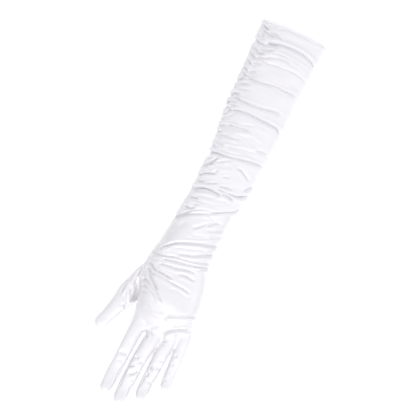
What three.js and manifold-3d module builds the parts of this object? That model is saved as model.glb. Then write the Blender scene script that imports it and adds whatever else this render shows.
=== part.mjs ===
// An elbow-length dress glove of white satin for the left hand, lying palm down.
// Millimetres. +Z is up, +Y runs from the fingertips to the cuff, and +X runs from the
// thumb side to the little-finger side. The glove rests on its flat underside at z = 0.

import * as THREE from 'three';
import { mergeVertices } from 'three/addons/utils/BufferGeometryUtils.js';
import Module from 'manifold-3d';

const wasm = await Module();
wasm.setup();

// Driving sizes
const WALL = 1.4; // thickness of the satin walls
const SEAM_GAP = 0.3; // the clearance along each seam
const HEM_WIDTH = 6; // the narrow turned edge of the mouth
const HEM_PROUD = 0.5; // the turned edge stands this far out of the sleeve
const HEM_INSIDE = 1.9; // and its inner face lies this deep
const MOUTH_SLANT = 8; // the lower edge of the mouth reaches past the upper one

const BODY_TOP_STEPS = 14; // facets over the back of the arm and hand
const BODY_BOTTOM_STEPS = 6; // facets underneath, where the cloth lies flat
const FINGER_TOP_STEPS = 8;
const FINGER_BOTTOM_STEPS = 4;

const BODY_SIDE_SHARE = 0.4; // the widest place of a section, as a share of its height
const FINGER_SIDE_SHARE = 0.43;
const CREST_SHARE = 0.25; // how far the cloth puffs out between two folds, of their depth

// Outline of the arm and hand: x of both edges and the height of the cloth at places along y
const BODY_OUTLINE = [
  { y: 232, thumbEdge: -19.8, farEdge: 57.4, height: 26 },
  { y: 222, thumbEdge: -19.8, farEdge: 57.0, height: 27 },
  { y: 194, thumbEdge: -19.8, farEdge: 54.6, height: 31 },
  { y: 172, thumbEdge: -19.8, farEdge: 52.4, height: 32 },
  { y: 150, thumbEdge: -19.8, farEdge: 50.8, height: 32 },
  { y: 123, thumbEdge: -20.6, farEdge: 50.4, height: 31 },
  { y: 106, thumbEdge: -18.9, farEdge: 49.4, height: 30 },
  { y: 84, thumbEdge: -16.6, farEdge: 47.8, height: 30 },
  { y: 62, thumbEdge: -16.6, farEdge: 45.6, height: 29 },
  { y: 40, thumbEdge: -17.4, farEdge: 44.8, height: 28 },
  { y: 18, thumbEdge: -18.2, farEdge: 41.0, height: 27 },
  { y: -4, thumbEdge: -21.5, farEdge: 37.6, height: 26 },
  { y: -26, thumbEdge: -23.8, farEdge: 36.2, height: 25 },
  { y: -48, thumbEdge: -27.6, farEdge: 35.6, height: 25 },
  { y: -60, thumbEdge: -30.4, farEdge: 36.6, height: 25 },
  { y: -67, thumbEdge: -31.4, farEdge: 39.6, height: 25 },
  { y: -80, thumbEdge: -29.4, farEdge: 42.6, height: 24 },
  { y: -95, thumbEdge: -26.2, farEdge: 44.6, height: 23 },
  { y: -112, thumbEdge: -22.4, farEdge: 46.2, height: 21 },
  { y: -125, thumbEdge: -21.6, farEdge: 46.6, height: 18 },
  { y: -140, thumbEdge: -20.4, farEdge: 46.6, height: 14 },
  { y: -160, thumbEdge: -20.4, farEdge: 46.6, height: 11 },
];

// Folds of the ruched sleeve, each a valley across the arm from the gathered thumb side.
// The first three columns are its y there, in the middle and on the far side, and the
// other three are its depth at the same places.
const SLEEVE_FOLDS = [
  { thumb: 198.5, middle: 203.8, far: 197.5, thumbDepth: 2.2, middleDepth: 2.6, farDepth: 1.6 },
  { thumb: 188.7, middle: 194.6, far: 190, thumbDepth: 1.8, middleDepth: 0.8, farDepth: 0 },
  { thumb: 181, middle: 187, far: 183, thumbDepth: 1.6, middleDepth: 0.4, farDepth: 0 },
  { thumb: 172, middle: 179.6, far: 175.7, thumbDepth: 2.0, middleDepth: 1.4, farDepth: 1.4 },
  { thumb: 161, middle: 169, far: 167, thumbDepth: 1.8, middleDepth: 0.3, farDepth: 0 },
  { thumb: 150, middle: 158.7, far: 158.2, thumbDepth: 2.2, middleDepth: 2.2, farDepth: 1.6 },
  { thumb: 141, middle: 145, far: 146, thumbDepth: 1.6, middleDepth: 0.4, farDepth: 0.3 },
  { thumb: 132.6, middle: 130.6, far: 132.3, thumbDepth: 1.8, middleDepth: 1.4, farDepth: 1.0 },
  { thumb: 121.6, middle: 118.7, far: 114, thumbDepth: 2.4, middleDepth: 2.0, farDepth: 2.0 },
  { thumb: 109.5, middle: 110.5, far: 106, thumbDepth: 1.8, middleDepth: 0.5, farDepth: 0.5 },
  { thumb: 99, middle: 102.4, far: 97.5, thumbDepth: 2.2, middleDepth: 1.4, farDepth: 0.6 },
  { thumb: 87.7, middle: 90.2, far: 88, thumbDepth: 2.0, middleDepth: 2.0, farDepth: 1.6 },
  { thumb: 75, middle: 80.6, far: 81.5, thumbDepth: 1.8, middleDepth: 1.0, farDepth: 1.0 },
  { thumb: 60.7, middle: 69.9, far: 73.5, thumbDepth: 2.6, middleDepth: 2.6, farDepth: 2.0 },
  { thumb: 47.7, middle: 60, far: 56, thumbDepth: 2.6, middleDepth: 1.4, farDepth: 1.0 },
  { thumb: 36.3, middle: 47.3, far: 48, thumbDepth: 2.0, middleDepth: 1.4, farDepth: 1.6 },
  { thumb: 28, middle: 36.1, far: 39, thumbDepth: 2.0, middleDepth: 1.6, farDepth: 1.6 },
  { thumb: 20, middle: 26.4, far: 29, thumbDepth: 2.6, middleDepth: 2.4, farDepth: 1.2 },
  { thumb: 9, middle: 16.4, far: 24, thumbDepth: 2.2, middleDepth: 0.8, farDepth: 0.4 },
];

// The line where the ruched sleeve ends and the smooth hand starts
const WRIST_SEAM = { thumb: -14, middle: 5.5, far: 19.6, thumbDepth: 2.4, middleDepth: 1.6, farDepth: 1.2 };

// Pull lines over the back of the hand, which fan out from the base of the thumb
const HAND_FOLDS = [
  { thumb: -30.3, middle: -9.4, far: -1.9, thumbDepth: 0.2, middleDepth: 1.0, farDepth: 1.0 },
  { thumb: -49.3, middle: -32.2, far: -29.2, thumbDepth: 1.8, middleDepth: 1.8, farDepth: 0.8 },
  { thumb: -55.5, middle: -45, far: -39.4, thumbDepth: 0.8, middleDepth: 1.3, farDepth: 1.2 },
  { thumb: -61.5, middle: -54.4, far: -50.4, thumbDepth: 1.6, middleDepth: 1.4, farDepth: 1.0 },
  { thumb: -66.6, middle: -64.8, far: -61.2, thumbDepth: 1.2, middleDepth: 1.0, farDepth: 0.3 },
  { thumb: -72, middle: -80.3, far: -81, thumbDepth: 1.4, middleDepth: 1.3, farDepth: 0.2 },
  { thumb: -80, middle: -99.6, far: -95, thumbDepth: 2.0, middleDepth: 0.8, farDepth: 0 },
  { thumb: -102, middle: -117.2, far: -107.3, thumbDepth: 0, middleDepth: 0.8, farDepth: 1.2 },
  { thumb: -128, middle: -133.5, far: -121.5, thumbDepth: 0, middleDepth: 1.0, farDepth: 1.8 },
];

// The hand ends between the fingers, where their webs lie
const WEB_LINE = { thumb: -153, middle: -142.5, far: -129, thumbDepth: 0, middleDepth: 0, farDepth: 0 };
const WEB_ROUND = 2.5; // the hand's end is rounded over this length
const HAND_CAP_DIP = 30; // the hand's open end leans inwards this much at its middle, clear of the sleeve

// The mouth of the sleeve: y of its upper edge
const MOUTH = { thumb: 222.6, middle: 220.4, far: 221.4, thumbDepth: 0, middleDepth: 0, farDepth: 0 };

// Fingers and thumb: stations from inside the hand to the tip
const FINGERS = {
  index: [
    { x: -8.5, y: -122, width: 18, height: 14 },
    { x: -11.5, y: -146, width: 17, height: 13.5 },
    { x: -13.4, y: -170, width: 15.8, height: 12.5 },
    { x: -15.4, y: -196, width: 15.2, height: 12 },
    { x: -17.4, y: -223.4, width: 14.4, height: 11 },
  ],
  middle: [
    { x: 12.5, y: -120, width: 18, height: 14 },
    { x: 10.2, y: -146, width: 18, height: 13.5 },
    { x: 5.8, y: -172, width: 16.2, height: 12.5 },
    { x: 3.0, y: -200, width: 15.6, height: 12 },
    { x: 2.0, y: -229.4, width: 13.6, height: 11 },
  ],
  ring: [
    { x: 30.2, y: -114, width: 17, height: 14 },
    { x: 28.0, y: -140, width: 16.8, height: 13.5 },
    { x: 25.4, y: -166, width: 15.2, height: 12 },
    { x: 23.4, y: -190, width: 14.6, height: 11.5 },
    { x: 22.3, y: -216.8, width: 12.6, height: 10.5 },
  ],
  little: [
    { x: 39.0, y: -108, width: 13, height: 13 },
    { x: 42.4, y: -132, width: 13.2, height: 12.5 },
    { x: 43.5, y: -150, width: 13.4, height: 11.5 },
    { x: 43.3, y: -174, width: 12.8, height: 11 },
    { x: 43.8, y: -196.6, width: 11.2, height: 10 },
  ],
};
const THUMB = [
  { x: -14, y: -58, width: 16, height: 15 },
  { x: -23.4, y: -80, width: 22, height: 19 },
  { x: -30.2, y: -102, width: 25, height: 19 },
  { x: -38.2, y: -124, width: 21.5, height: 17 },
  { x: -45.6, y: -143, width: 17, height: 14.5 },
  { x: -53.2, y: -160.6, width: 14.5, height: 13 },
];

// Creases across the fingers: how far along the finger from its first station, and depth
const FINGER_CREASES = [
  { along: 0.46, depth: 0.9 },
  { along: 0.62, depth: 0.8 },
];
const THUMB_CREASES = [{ along: 0.62, depth: 0.6 }];

// Seams of the hand
const SIDE_SEAM = [
  // height of the seam that joins the back to the palm, along y
  { y: 40, z: 10.5 },
  { y: -100, z: 10.5 },
  { y: -128, z: 5.5 },
  { y: -240, z: 5.5 },
];
const FOURCHETTE_HALF_WIDTH = 3; // the strips between the fingers
const FOURCHETTE_SHORT = 5; // they stop this far before the fingertips
const FOURCHETTE_ABOVE_WEB = 7;
const WEBS = [
  { name: 'index_middle', thumbSide: 'index', farSide: 'middle', y: -145.8 },
  { name: 'middle_ring', thumbSide: 'middle', farSide: 'ring', y: -139.2 },
  { name: 'ring_little', thumbSide: 'ring', farSide: 'little', y: -131.5 },
];
const THUMB_SEAM_OVER = [
  // the seam of the thumb as seen from above, from the wrist side to the crotch
  [-31.4, -66],
  [-30.6, -72],
  [-28.4, -87.5],
  [-25, -101.8],
  [-22.4, -111.5],
  [-22.4, -119],
  [-24.6, -124],
];
const THUMB_SEAM_UNDER = [
  // the oval of the thumb's gusset in the palm
  [-31, -62],
  [-20, -68],
  [-9, -82],
  [-6, -96],
  [-9, -110],
  [-18, -120],
  [-24.6, -124],
];
const OUTSIDE = 90; // cutters reach this far past the glove

// Sections

const signedPower = (value, power) => Math.sign(value) * Math.abs(value) ** power;

// An angle for each facet: over the top from the far side to the thumb side, then back below
function sectionAngles(topSteps, bottomSteps) {
  const angles = [];
  for (let i = 0; i < topSteps; i += 1) angles.push((Math.PI * i) / topSteps);
  for (let i = 0; i < bottomSteps; i += 1) angles.push(Math.PI + (Math.PI * i) / bottomSteps);
  return angles;
}

const BODY_ANGLES = sectionAngles(BODY_TOP_STEPS, BODY_BOTTOM_STEPS);
const FINGER_ANGLES = sectionAngles(FINGER_TOP_STEPS, FINGER_BOTTOM_STEPS);

// A soft section that lies flat: across runs from -1 to 1, z is the height above the ground
function softSection(angle, height, sideShare, inset) {
  const side = height * sideShare;
  const across = signedPower(Math.cos(angle), 0.86);
  const rise = signedPower(Math.sin(angle), 0.92);
  if (rise >= 0) return { across, z: side + (height - inset - side) * rise };
  return { across, z: Math.max(inset, side + 1.35 * side * rise) };
}

function blend(from, to, share) {
  return from + (to - from) * share;
}

// Value of one column of a table whose rows run along y
function tableAt(table, column, y) {
  const last = table.length - 1;
  const falls = table[0].y > table[last].y;
  let i = table.findIndex((row) => (falls ? row.y <= y : row.y >= y));
  if (i < 0) i = last;
  if (i === 0) i = 1;
  const share = (y - table[i - 1].y) / (table[i].y - table[i - 1].y);
  return blend(table[i - 1][column], table[i][column], THREE.MathUtils.clamp(share, 0, 1));
}

// A value given at the thumb side, in the middle and on the far side of a row
function acrossRow(thumb, middle, far, across) {
  const side = across < 0 ? thumb : far;
  return blend(middle, side, Math.abs(across) ** 1.6);
}

// One closed ring of the arm or hand along a row, at a depth inside the cloth's outer face
function bodyRing(row, inset) {
  const thumbEdge = tableAt(BODY_OUTLINE, 'thumbEdge', row.thumb);
  const farEdge = tableAt(BODY_OUTLINE, 'farEdge', row.far);
  const height = tableAt(BODY_OUTLINE, 'height', row.middle);
  const centre = (thumbEdge + farEdge) / 2;
  const half = (farEdge - thumbEdge) / 2;
  const spine = height * BODY_SIDE_SHARE;
  const scale = row.scale ?? 1;
  return BODY_ANGLES.map((angle) => {
    const { across, z } = softSection(angle, height, BODY_SIDE_SHARE, inset);
    const out = new THREE.Vector2(across * (half - inset), z - spine);
    const onTop = THREE.MathUtils.smoothstep(Math.sin(angle), -0.25, 0.1);
    const depth = acrossRow(row.thumbDepth, row.middleDepth, row.farDepth, across) * onTop;
    out.setLength(Math.max(out.length() * scale - depth, 0.1));
    const below = Math.max(-Math.sin(angle), 0);
    const y = acrossRow(row.thumb, row.middle, row.far, across) + (row.slant ?? 0) * below;
    return new THREE.Vector3(centre + out.x, y, spine + out.y);
  });
}

// Rows of a ruched surface: the cloth puffs out between each pair of folds
function ruchedRows(first, folds, last) {
  const valleys = [first, ...folds, last];
  const rows = [];
  valleys.forEach((valley, i) => {
    rows.push(valley);
    const next = valleys[i + 1];
    if (!next) return;
    const crest = {};
    for (const key of ['thumb', 'middle', 'far']) {
      crest[key] = (valley[key] + next[key]) / 2;
      const deeper = Math.max(valley[`${key}Depth`], next[`${key}Depth`]);
      crest[`${key}Depth`] = -CREST_SHARE * deeper;
    }
    rows.push(crest);
  });
  return rows;
}

const moved = (row, by) => ({ ...row, thumb: row.thumb + by, middle: row.middle + by, far: row.far + by });

// Meshes

// A grid of triangles over rings that follow each other towards the fingertips
function ringFaces(ringCount, ringSize, closed) {
  const faces = [];
  const strips = closed ? ringCount : ringCount - 1;
  for (let r = 0; r < strips; r += 1) {
    const here = r * ringSize;
    const next = ((r + 1) % ringCount) * ringSize;
    for (let i = 0; i < ringSize; i += 1) {
      const j = (i + 1) % ringSize;
      faces.push(here + i, here + j, next + i);
      faces.push(here + j, next + j, next + i);
    }
  }
  return faces;
}

function meshOf(points, faces) {
  const geometry = new THREE.BufferGeometry().setFromPoints(points);
  geometry.setIndex(faces);
  return geometry;
}

// A solid through rings, closed at both ends by a fan to a point
function loft(rings, startPoint, endPoint) {
  const size = rings[0].length;
  const points = [...rings.flat(), startPoint, endPoint];
  const faces = ringFaces(rings.length, size, false);
  const start = points.length - 2;
  const lastRing = (rings.length - 1) * size;
  for (let i = 0; i < size; i += 1) {
    const j = (i + 1) % size;
    faces.push(start, j, i);
    faces.push(start + 1, lastRing + i, lastRing + j);
  }
  return meshOf(points, faces);
}

// A tube wall: outer rings there, inner rings back, and both ends joined
function tubeWall(outerRings, innerRings) {
  const rings = [...outerRings, ...[...innerRings].reverse()];
  return meshOf(rings.flat(), ringFaces(rings.length, rings[0].length, true));
}

function centreOf(ring) {
  return ring.reduce((sum, p) => sum.add(p), new THREE.Vector3()).divideScalar(ring.length);
}

// Solids for joining and cutting

function solidOf(geometry) {
  const plain = geometry.clone();
  plain.deleteAttribute('normal');
  plain.deleteAttribute('uv');
  const merged = mergeVertices(plain, 1e-4);
  return new wasm.Manifold(
    new wasm.Mesh({
      numProp: 3,
      vertProperties: Float32Array.from(merged.attributes.position.array),
      triVerts: Uint32Array.from(merged.index.array),
    }),
  );
}

function geometryOf(solid) {
  const mesh = solid.getMesh();
  const geometry = new THREE.BufferGeometry();
  geometry.setAttribute('position', new THREE.BufferAttribute(Float32Array.from(mesh.vertProperties), 3));
  geometry.setIndex(Array.from(mesh.triVerts));
  return geometry;
}

// An upright prism over an outline in plan
function prism(outline, lowZ, highZ) {
  const shape = new THREE.Shape(outline);
  const geometry = new THREE.ExtrudeGeometry(shape, { depth: highZ - lowZ, bevelEnabled: false });
  return solidOf(geometry.translate(0, 0, lowZ));
}

// A prism over an outline in the (y, z) plane, right across the glove
function crossPrism(outline) {
  const shape = new THREE.Shape(outline);
  const geometry = new THREE.ExtrudeGeometry(shape, { depth: 2 * OUTSIDE, bevelEnabled: false });
  geometry.translate(0, 0, -OUTSIDE);
  const turn = new THREE.Matrix4().makeBasis(
    new THREE.Vector3(0, 1, 0),
    new THREE.Vector3(0, 0, 1),
    new THREE.Vector3(1, 0, 0),
  );
  return solidOf(geometry.applyMatrix4(turn));
}

// An outline pushed out all round by a distance
function grown(outline, distance) {
  const count = outline.length;
  const turned = THREE.ShapeUtils.area(outline) < 0 ? -1 : 1;
  return outline.map((point, i) => {
    const before = outline[(i + count - 1) % count];
    const after = outline[(i + 1) % count];
    const run = after.clone().sub(before).normalize();
    return new THREE.Vector2(run.y, -run.x).multiplyScalar(distance * turned).add(point);
  });
}

// Arm and hand

const hemLine = moved(MOUTH, -HEM_WIDTH);
const sleeveStart = { ...moved(hemLine, -SEAM_GAP), slant: MOUTH_SLANT };
const sleeveRows = ruchedRows(sleeveStart, SLEEVE_FOLDS, WRIST_SEAM);
sleeveRows[1].slant = MOUTH_SLANT / 2;

const handStart = moved(WRIST_SEAM, -SEAM_GAP);
const handRows = ruchedRows(handStart, HAND_FOLDS, WEB_LINE);
handRows.push({ ...moved(WEB_LINE, -0.7 * WEB_ROUND), scale: 0.7 });

function sleeve() {
  return tubeWall(
    sleeveRows.map((row) => bodyRing(row, 0)),
    sleeveRows.map((row) => bodyRing(row, WALL)),
  );
}

function cuffHem() {
  const ends = [
    { ...MOUTH, slant: MOUTH_SLANT },
    { ...hemLine, slant: MOUTH_SLANT },
  ];
  const geometry = tubeWall(
    ends.map((row) => bodyRing(row, -HEM_PROUD)),
    ends.map((row) => bodyRing(row, HEM_INSIDE)),
  );
  const points = geometry.attributes.position;
  for (let i = 0; i < points.count; i += 1) points.setZ(i, Math.max(points.getZ(i), 0));
  return geometry;
}

function handBody(inset) {
  const rows = inset > 0 ? [moved(handStart, 12), ...handRows] : handRows;
  const rings = rows.map((row) => bodyRing(row, inset));
  const start = centreOf(rings[0]);
  const end = centreOf(rings[rings.length - 1]);
  start.y += inset > 0 ? 0 : -HAND_CAP_DIP;
  end.y += inset - WEB_ROUND * 0.3;
  return solidOf(loft(rings, start, end));
}

// One finger or the thumb, as a solid whose skin lies at a depth inside the outer face
function fingerTube(stations, creases, inset) {
  const route = new THREE.CatmullRomCurve3(stations.map((s) => new THREE.Vector3(s.x, s.y, 0)));
  const sizes = new THREE.CatmullRomCurve3(stations.map((s) => new THREE.Vector3(s.width, s.height, 0)));
  const tipRadius = stations[stations.length - 1].width / 2;
  const length = route.getLength();
  const domeStart = 1 - tipRadius / length;
  const rows = [];
  const steps = stations.length - 1;
  for (let i = 0; i < steps; i += 1) rows.push({ along: (domeStart * i) / steps, depth: 0, scale: 1 });
  for (const crease of creases) rows.push({ ...crease, scale: 1 });
  rows.sort((a, b) => a.along - b.along);
  for (const degrees of [0, 40, 70]) {
    const turn = THREE.MathUtils.degToRad(degrees);
    const along = domeStart + ((1 - domeStart) * Math.sin(turn) * (tipRadius - inset)) / tipRadius;
    rows.push({ along, depth: 0, scale: Math.cos(turn) });
  }
  const rings = rows.map((row) => {
    const centre = route.getPointAt(row.along);
    const run = route.getTangentAt(row.along);
    const size = sizes.getPoint(route.getUtoTmapping(row.along));
    const side = size.y * FINGER_SIDE_SHARE;
    return FINGER_ANGLES.map((angle) => {
      const { across, z } = softSection(angle, size.y, FINGER_SIDE_SHARE, inset);
      const onTop = Math.max(Math.sin(angle), 0);
      const wide = across * (size.x / 2 - inset) * row.scale;
      const high = side + (z - side) * row.scale - row.depth * onTop;
      return new THREE.Vector3(centre.x - run.y * wide, centre.y + run.x * wide, high);
    });
  });
  const tip = route.getPointAt(1);
  const back = route.getTangentAt(1).multiplyScalar(-inset);
  tip.add(back);
  tip.z = stations[stations.length - 1].height * FINGER_SIDE_SHARE;
  return solidOf(loft(rings, centreOf(rings[0]), tip));
}

function wholeHand(inset) {
  let solid = handBody(inset).add(fingerTube(THUMB, THUMB_CREASES, inset));
  for (const stations of Object.values(FINGERS)) solid = solid.add(fingerTube(stations, FINGER_CREASES, inset));
  return solid;
}

const handShell = wholeHand(0).subtract(wholeHand(WALL));

// Cutting the hand along its seams

const seamPoints = SIDE_SEAM.map((row) => new THREE.Vector2(row.y, row.z));
const palmSide = crossPrism([
  ...seamPoints,
  new THREE.Vector2(-240, -OUTSIDE),
  new THREE.Vector2(40, -OUTSIDE),
]);
const backSide = crossPrism([
  ...seamPoints.map((p) => new THREE.Vector2(p.x, p.y + SEAM_GAP)),
  new THREE.Vector2(-240, OUTSIDE),
  new THREE.Vector2(40, OUTSIDE),
]);

function thumbOutline(seam) {
  const line = seam.map(([x, y]) => new THREE.Vector2(x, y));
  const crotch = line[line.length - 1];
  const pastTip = crotch.y - OUTSIDE;
  return [
    ...line,
    new THREE.Vector2(crotch.x, pastTip),
    new THREE.Vector2(-OUTSIDE, pastTip),
    new THREE.Vector2(-OUTSIDE, line[0].y),
  ];
}

const SEAM_TOP = SIDE_SEAM[0].z;
const overOutline = thumbOutline(THUMB_SEAM_OVER);
const underOutline = thumbOutline(THUMB_SEAM_UNDER);
const thumbRegion = prism(overOutline, -OUTSIDE, OUTSIDE).add(prism(underOutline, -OUTSIDE, SEAM_TOP));
const thumbGap = prism(grown(overOutline, SEAM_GAP), -OUTSIDE, OUTSIDE).add(
  prism(grown(underOutline, SEAM_GAP), -OUTSIDE, SEAM_TOP + SEAM_GAP),
);

// Plan outline of the strip between two fingers, from one centre line to the other
function fourchetteOutline(web) {
  const lineOf = (finger) => {
    const stations = FINGERS[finger].map((s) => new THREE.Vector2(s.x, s.y));
    const tip = stations.pop();
    const before = stations[stations.length - 1];
    const short = tip.clone().sub(before).setLength(FOURCHETTE_SHORT);
    return [...stations.filter((p) => p.y < web.y + FOURCHETTE_ABOVE_WEB), tip.sub(short)];
  };
  const top = web.y + FOURCHETTE_ABOVE_WEB;
  const thumbSide = lineOf(web.thumbSide);
  const farSide = lineOf(web.farSide);
  const start = new THREE.Vector2(thumbSide[0].x + 1, top);
  const end = new THREE.Vector2(farSide[0].x - 1, top);
  return [start, ...thumbSide, ...farSide.reverse(), end];
}

function fourchetteRegion(web, gap) {
  const middle = SIDE_SEAM[SIDE_SEAM.length - 1].z;
  const half = FOURCHETTE_HALF_WIDTH + gap;
  return prism(grown(fourchetteOutline(web), gap), middle - half, middle + half);
}

let panels = handShell.subtract(thumbGap);
for (const web of WEBS) panels = panels.subtract(fourchetteRegion(web, SEAM_GAP));

// Materials: satin with its bright face on the hand, the same cloth more matt on the sleeve

const satin = (color, roughness) => new THREE.MeshStandardMaterial({ color, roughness, metalness: 0 });

function piece(name, geometry, material) {
  const mesh = new THREE.Mesh(geometry, material);
  mesh.name = name;
  return mesh;
}

const glove = new THREE.Group();
glove.add(piece('sleeve', sleeve(), satin('#ece9f3', 0.55)));
glove.add(piece('cuff_hem', cuffHem(), satin('#efedf4', 0.55)));
glove.add(piece('back_panel', geometryOf(panels.intersect(backSide)), satin('#f4f3f8', 0.35)));
glove.add(piece('palm_panel', geometryOf(panels.intersect(palmSide)), satin('#f1f0f6', 0.35)));
glove.add(piece('thumb', geometryOf(handShell.intersect(thumbRegion)), satin('#f4f3f8', 0.35)));
for (const web of WEBS) {
  const strip = handShell.intersect(fourchetteRegion(web, 0));
  glove.add(piece(`fourchette_${web.name}`, geometryOf(strip), satin('#e9e7f1', 0.35)));
}

// The origin is the middle of the glove's outline, on the ground
const bounds = new THREE.Box3().setFromObject(glove);
glove.position.set(-(bounds.min.x + bounds.max.x) / 2, -(bounds.min.y + bounds.max.y) / 2, -bounds.min.z);

export default glove;
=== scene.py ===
import math

import bmesh
import bpy
import numpy as np
from mathutils import Matrix, Vector


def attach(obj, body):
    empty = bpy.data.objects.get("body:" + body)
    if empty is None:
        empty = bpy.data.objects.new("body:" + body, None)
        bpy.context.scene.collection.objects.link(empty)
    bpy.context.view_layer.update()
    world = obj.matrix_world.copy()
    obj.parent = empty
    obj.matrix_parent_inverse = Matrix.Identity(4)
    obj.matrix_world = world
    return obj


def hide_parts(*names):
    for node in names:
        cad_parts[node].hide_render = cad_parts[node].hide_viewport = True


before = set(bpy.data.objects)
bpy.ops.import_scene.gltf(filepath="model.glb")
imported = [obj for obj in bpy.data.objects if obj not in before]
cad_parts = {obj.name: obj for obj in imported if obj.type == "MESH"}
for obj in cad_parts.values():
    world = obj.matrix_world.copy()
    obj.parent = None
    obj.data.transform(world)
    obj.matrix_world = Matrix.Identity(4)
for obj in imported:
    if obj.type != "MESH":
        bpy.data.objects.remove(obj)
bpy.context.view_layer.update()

# Sizes are in millimetres in the part's own frame, and become metres when a mesh is placed.
MM = 0.001
ROW_TO_FRAME_Y = 0.5  # y in the tables plus this is y in the frame
CLOTH = 0.6  # thickness of the satin
HEM_WIDTH = 6.0
HEM_THICKNESS = 2.2
MOUTH_SLANT = 8.0  # the lower edge of the mouth reaches this far past the upper one
SIDE_SHARE = 0.4  # the widest place of a section of the arm, as a share of its height
FINGER_SIDE_SHARE = 0.43  # the same for a finger
SKIN_STEP = 0.85  # spacing of the hand's mesh

# Outline of the arm and hand: y, x of the thumb side, x of the far side, height of the cloth
BODY_OUTLINE = np.array([
    (236, -19.8, 57.6, 25),
    (222, -19.8, 57.0, 27),
    (194, -19.8, 54.6, 31),
    (172, -19.8, 52.4, 32),
    (150, -19.8, 50.8, 32),
    (123, -20.6, 50.4, 31),
    (106, -18.9, 49.4, 30),
    (84, -16.6, 47.8, 30),
    (62, -16.6, 45.6, 29),
    (40, -17.4, 44.8, 28),
    (18, -18.2, 41.0, 27),
    (-4, -21.5, 37.6, 26),
    (-26, -23.8, 36.2, 25),
    (-48, -27.6, 35.6, 25),
    (-60, -30.4, 36.6, 24.6),
    (-67, -31.2, 39.6, 24),
    (-80, -29.4, 42.6, 24.4),
    (-95, -26.2, 44.6, 25.9),
    (-104, -24.2, 45.6, 26.6),
    (-112, -22.6, 46.2, 25.2),
    (-118, -22.0, 46.4, 22.8),
    (-127, -21.5, 46.6, 18),
    (-140, -20.4, 46.6, 14),
    (-160, -20.4, 46.6, 11),
])

# Lines that the cloth runs along, from the mouth to the roots of the fingers: y at the thumb
# side, in the middle and on the far side. Fine wrinkles follow them.
FLOW = np.array([
    (230, 229, 229),
    (211, 210, 211),
    (198.5, 203.8, 197.5),
    (188.7, 194.6, 190),
    (181, 187, 183),
    (172, 179.6, 175.7),
    (161, 169, 167),
    (150, 158.7, 158.2),
    (141, 145, 146),
    (132.6, 130.6, 132.3),
    (121.6, 118.7, 114),
    (109.5, 110.5, 106),
    (99, 102.4, 97.5),
    (87.7, 90.2, 88),
    (75, 80.6, 81.5),
    (60.7, 69.9, 73.5),
    (47.7, 60, 62),
    (36.3, 47.3, 52),
    (28, 36.1, 43),
    (20, 26.4, 34),
    (9, 16.4, 27),
    (-14, 5.5, 19.6),
    (-30.3, -9.4, -1.9),
    (-49.3, -32.2, -29.2),
    (-55.5, -45, -39.4),
    (-61.5, -54.4, -50.4),
    (-66.6, -64.8, -61.2),
    (-72, -80.3, -81),
    (-80, -99.6, -95),
    (-102, -117.2, -107.3),
    (-128, -133.5, -121.5),
    (-153, -142.5, -129),
])
# More lines across the glove, as y at the thumb side, in the middle and on the far side
MOUTH = (222.6, 220.4, 221.4)
WRIST_SEAM = (-14, 5.5, 19.6)
WEB_LINE = (-153, -142.5, -129)
WRIST_MIDDLE = 8.2  # x
WRIST_HALF_WIDTH = 30.0

# Fingers and thumb: x, y, width and height of each station, from inside the hand to the tip
FINGERS = {
    "index": [(-8.5, -122, 18, 14), (-11.5, -146, 17, 13.6), (-13.4, -170, 15.8, 12.2),
              (-15.2, -199, 15.2, 9.2), (-17.4, -223.4, 14.4, 15)],
    "middle": [(12.5, -120, 18, 14), (10.2, -146, 18, 13.6), (5.8, -172, 16.4, 12.2),
               (3.0, -210, 15.8, 9.4), (2.0, -229.4, 13.8, 14.4)],
    "ring": [(30.2, -114, 17, 14), (28.0, -140, 16.8, 13.6), (25.4, -166, 15.2, 12),
             (23.4, -198, 14.6, 9.2), (22.3, -216.8, 12.6, 14.2)],
    "little": [(39.0, -108, 13, 13), (42.4, -132, 13.6, 13.6), (43.5, -150, 13.8, 12.2),
               (43.3, -182, 12.8, 8.8), (43.8, -196.6, 11.2, 11.6)],
}
THUMB = [(-14, -58, 16, 14), (-23.4, -80, 22, 15), (-31.2, -102, 25, 16), (-35.4, -115, 25.5, 16),
         (-39.2, -126, 21, 16), (-45.6, -143, 17, 14.5), (-53.2, -160.6, 15, 13)]

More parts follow.
